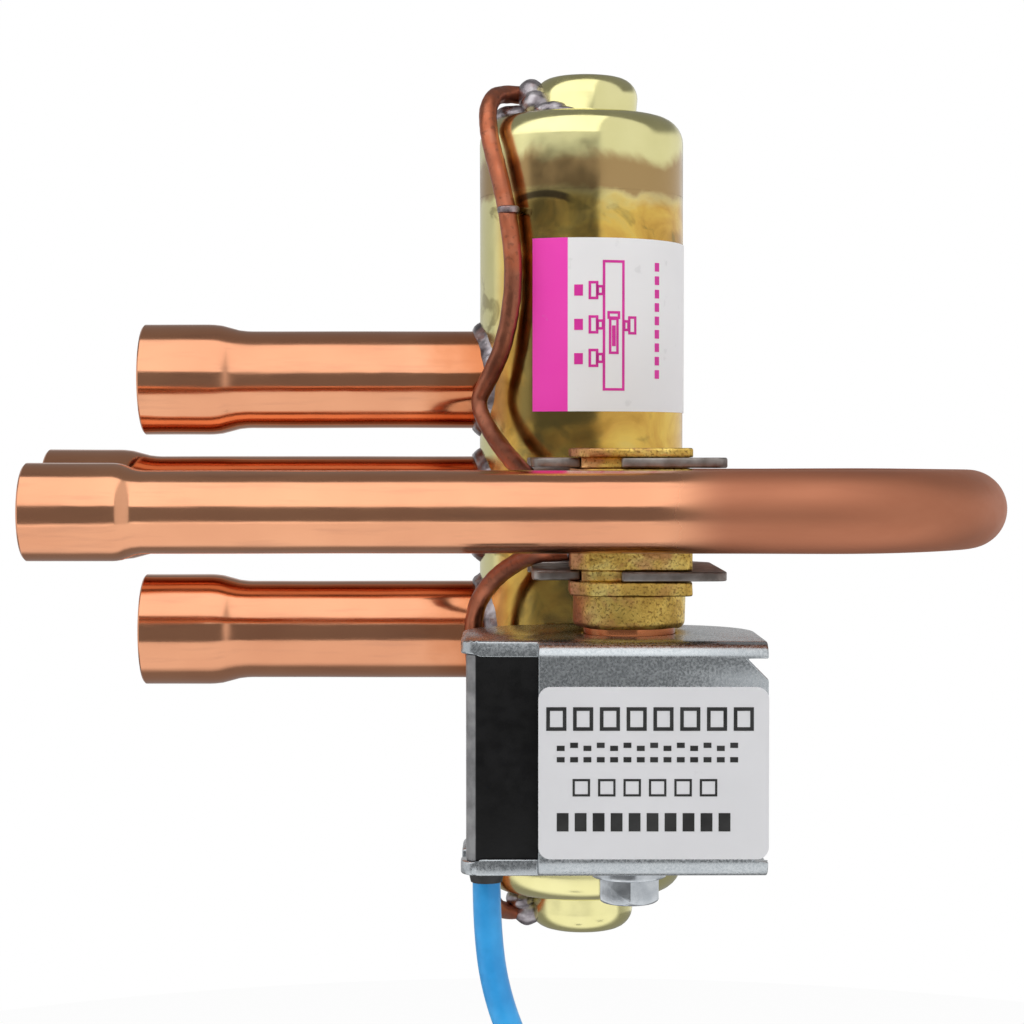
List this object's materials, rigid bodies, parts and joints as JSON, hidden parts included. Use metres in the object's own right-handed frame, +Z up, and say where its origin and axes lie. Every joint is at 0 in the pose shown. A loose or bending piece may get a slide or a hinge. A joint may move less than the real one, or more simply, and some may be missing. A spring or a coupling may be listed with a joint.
{
  "type": "four way reversing valve",
  "caption": "Brass four way reversing valve with swaged copper tubes, a U-bent discharge tube, and a solenoid pilot valve with capillaries and a blue lead.",
  "frame": {"origin": "centre of the suction socket's mouth", "axes": "-X out of the suction socket's mouth, +Z up along the main body towards the evaporator port's end, -Y towards the pilot valve and coil"},
  "size_m": [0.1212, 0.0589, 0.1766],
  "materials": {
    "body_brass": "heat tinted polished brass",
    "cap_brass": "bright brass",
    "tube_copper": "bright drawn copper",
    "capillary_copper": "dull heated copper",
    "braze_filler": "dark silver braze",
    "pilot_brass": "rough forged brass",
    "seat_brass": "machined brass",
    "slide_plastic": "moulded nylon",
    "seal_plastic": "low friction seal plastic",
    "inner_steel": "plain steel",
    "bracket_steel": "dull grey steel",
    "sleeve_copper": "copper plated steel tube",
    "zinc_steel": "bright zinc plate",
    "coil_resin": "black moulded resin",
    "bobbin_plastic": "moulded nylon",
    "winding_copper": "enamelled copper wire",
    "bolt_zinc": "bright zinc plate",
    "label_film": "printed white film",
    "lead_rubber": "blue flexible sheath",
    "tie_plastic": "black strap",
    "plug_plastic": "natural nylon"
  },
  "bodies": {
    "valve": {"valve_body": "body_brass", "upper_end_cap": "cap_brass", "lower_end_cap": "cap_brass", "valve_seat": "seat_brass", "evaporator_tube": "tube_copper", "suction_tube": "tube_copper", "condenser_tube": "tube_copper", "discharge_tube": "tube_copper", "evaporator_braze": "braze_filler", "suction_braze": "braze_filler", "condenser_braze": "braze_filler", "discharge_braze": "braze_filler", "pilot_body": "pilot_brass", "pilot_seat": "seat_brass", "plunger_spring": "inner_steel", "pilot_sleeve": "sleeve_copper", "fixed_core": "inner_steel", "pilot_bracket": "bracket_steel", "coil_frame": "zinc_steel", "coil_resin": "coil_resin", "coil_bobbin": "bobbin_plastic", "coil_winding": "winding_copper", "coil_bolt": "bolt_zinc", "flat_washer": "bolt_zinc", "spring_washer": "bolt_zinc", "body_label": "label_film", "coil_label": "label_film", "evaporator_capillary": "capillary_copper", "suction_capillary": "capillary_copper", "condenser_capillary": "capillary_copper", "discharge_capillary": "capillary_copper", "capillary_brazes": "braze_filler", "lead_grommet": "coil_resin", "lead": "lead_rubber", "lead_coil": "lead_rubber", "lead_tie": "tie_plastic", "lead_tail": "lead_rubber", "lead_connector": "plug_plastic"},
    "shuttle": {"main_slide": "slide_plastic", "slide_carrier": "inner_steel", "upper_piston": "inner_steel", "lower_piston": "inner_steel", "upper_piston_seal": "seal_plastic", "lower_piston_seal": "seal_plastic", "piston_screws": "inner_steel"},
    "pilot_plunger": {"plunger": "inner_steel", "pilot_slide": "slide_plastic"}
  },
  "joints": [
    {"name": "main_shuttle", "type": "slide", "parent": "valve", "child": "shuttle", "axis": [0, 0, 1], "range_m": [0, 0.0164]},
    {"name": "pilot_plunger_slide", "type": "slide", "parent": "valve", "child": "pilot_plunger", "axis": [0, 0, 1], "range_m": [-0.0025, 0], "stiffness_N_per_m": 400, "springref_m": 0.003, "deforming": ["plunger_spring"]}
  ]
}
